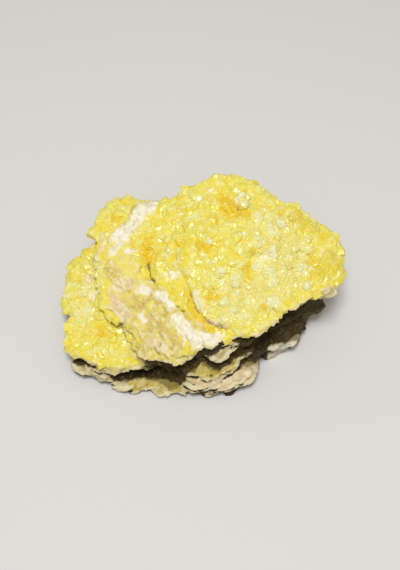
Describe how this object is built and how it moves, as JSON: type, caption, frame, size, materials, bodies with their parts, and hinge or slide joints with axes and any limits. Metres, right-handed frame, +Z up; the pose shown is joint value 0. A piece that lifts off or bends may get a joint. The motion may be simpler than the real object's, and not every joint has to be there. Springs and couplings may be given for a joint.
{
  "type": "native sulfur specimen",
  "caption": "Loose hand specimen of native sulfur: a bedded rock with an overhanging cap crusted in yellow crystals, lying on its broken underside.",
  "frame": {"origin": "on the ground, under the middle of the specimen's outline", "axes": "+X towards the specimen's right along its longest side, +Y towards its back, +Z up"},
  "size_m": [0.1014, 0.0746, 0.0376],
  "materials": {
    "sulfur_rock": "glassy yellow sulfur crystals over matt pale rock, with whitish and pinkish-tan broken patches"
  },
  "bodies": {
    "root": {"sulfur_specimen": "sulfur_rock"}
  },
  "joints": []
}
